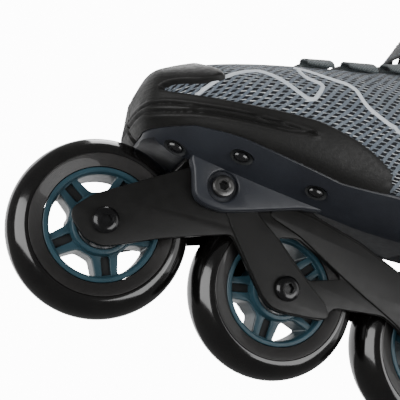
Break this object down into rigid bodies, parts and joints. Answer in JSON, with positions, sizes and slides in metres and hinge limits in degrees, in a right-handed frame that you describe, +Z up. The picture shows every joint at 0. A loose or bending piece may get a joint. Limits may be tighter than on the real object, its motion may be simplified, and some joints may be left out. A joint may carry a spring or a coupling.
{
  "type": "inline skate",
  "caption": "Left soft-boot inline skate: laced knit upper with rubber toe cap, hinged padded ankle cuff with strap and lever buckle, and wheels on bearings in line under a bolted frame.",
  "frame": {"origin": "middle of the insole's flat top (the foot bed), midway between the second and third axles and on the wheels' centre plane", "axes": "+X towards the heel, +Y towards the inner (medial) side, +Z up from the foot bed towards the cuff"},
  "size_m": [0.335, 0.1297, 0.3002],
  "materials": {
    "urethane": "gloss",
    "hub_plastic": "satin",
    "steel": "satin",
    "black_steel": "satin black",
    "frame_paint": "satin",
    "sole_plastic": "satin",
    "rubber": "matte",
    "knit": "open knit",
    "padding": "brushed",
    "shell_plastic": "satin",
    "webbing": "woven",
    "cord": "braided"
  },
  "bodies": {
    "skate": {"axle_bolt_1": "black_steel", "axle_bolt_2": "black_steel", "axle_bolt_3": "black_steel", "axle_bolt_4": "black_steel", "base_plate": "sole_plastic", "cuff_pivot_left": "steel", "cuff_pivot_right": "steel", "frame": "frame_paint", "front_mount_bolt": "steel", "front_mount_nut": "steel", "heel_counter": "shell_plastic", "insole": "padding", "instep_strap": "webbing", "lace": "cord", "lace_loop_left_1": "webbing", "lace_loop_left_2": "webbing", "lace_loop_left_3": "webbing", "lace_loop_right_1": "webbing", "lace_loop_right_2": "webbing", "lace_loop_right_3": "webbing", "liner": "padding", "rear_mount_bolt": "steel", "rear_mount_nut": "steel", "toe_cap": "rubber", "tongue": "padding", "upper": "knit"},
    "wheel_1": {"tyre_1": "urethane", "hub_1": "hub_plastic", "bearing_left_1": "steel", "bearing_right_1": "steel", "bearing_spacer_1": "steel"},
    "wheel_2": {"tyre_2": "urethane", "hub_2": "hub_plastic", "bearing_left_2": "steel", "bearing_right_2": "steel", "bearing_spacer_2": "steel"},
    "wheel_3": {"tyre_3": "urethane", "hub_3": "hub_plastic", "bearing_left_3": "steel", "bearing_right_3": "steel", "bearing_spacer_3": "steel"},
    "wheel_4": {"tyre_4": "urethane", "hub_4": "hub_plastic", "bearing_left_4": "steel", "bearing_right_4": "steel", "bearing_spacer_4": "steel"},
    "ankle_cuff": {"cuff": "shell_plastic", "collar": "padding", "shin_pad": "padding", "cuff_strap": "shell_plastic", "buckle_base": "shell_plastic", "lever_pin": "steel", "pull_loop": "webbing"},
    "lever": {"buckle_lever": "shell_plastic"}
  },
  "joints": [
    {"name": "wheel_1_spin", "type": "hinge", "parent": "skate", "child": "wheel_1", "pos_m": [-0.1275, 0, -0.0625], "axis": [0, 1, 0], "continuous": true},
    {"name": "wheel_2_spin", "type": "hinge", "parent": "skate", "child": "wheel_2", "pos_m": [-0.0425, 0, -0.0625], "axis": [0, 1, 0], "continuous": true},
    {"name": "wheel_3_spin", "type": "hinge", "parent": "skate", "child": "wheel_3", "pos_m": [0.0425, 0, -0.0625], "axis": [0, 1, 0], "continuous": true},
    {"name": "wheel_4_spin", "type": "hinge", "parent": "skate", "child": "wheel_4", "pos_m": [0.1275, 0, -0.0625], "axis": [0, 1, 0], "continuous": true},
    {"name": "cuff_flex", "type": "hinge", "parent": "skate", "child": "ankle_cuff", "pos_m": [0.08075, 0, 0.075], "axis": [0, -1, 0], "range_deg": [-4, 15]},
    {"name": "lever_swing", "type": "hinge", "parent": "ankle_cuff", "child": "lever", "pos_m": [0.01135, -0.05395, 0.1655], "axis": [0, 0, -1], "range_deg": [0, 100]}
  ]
}
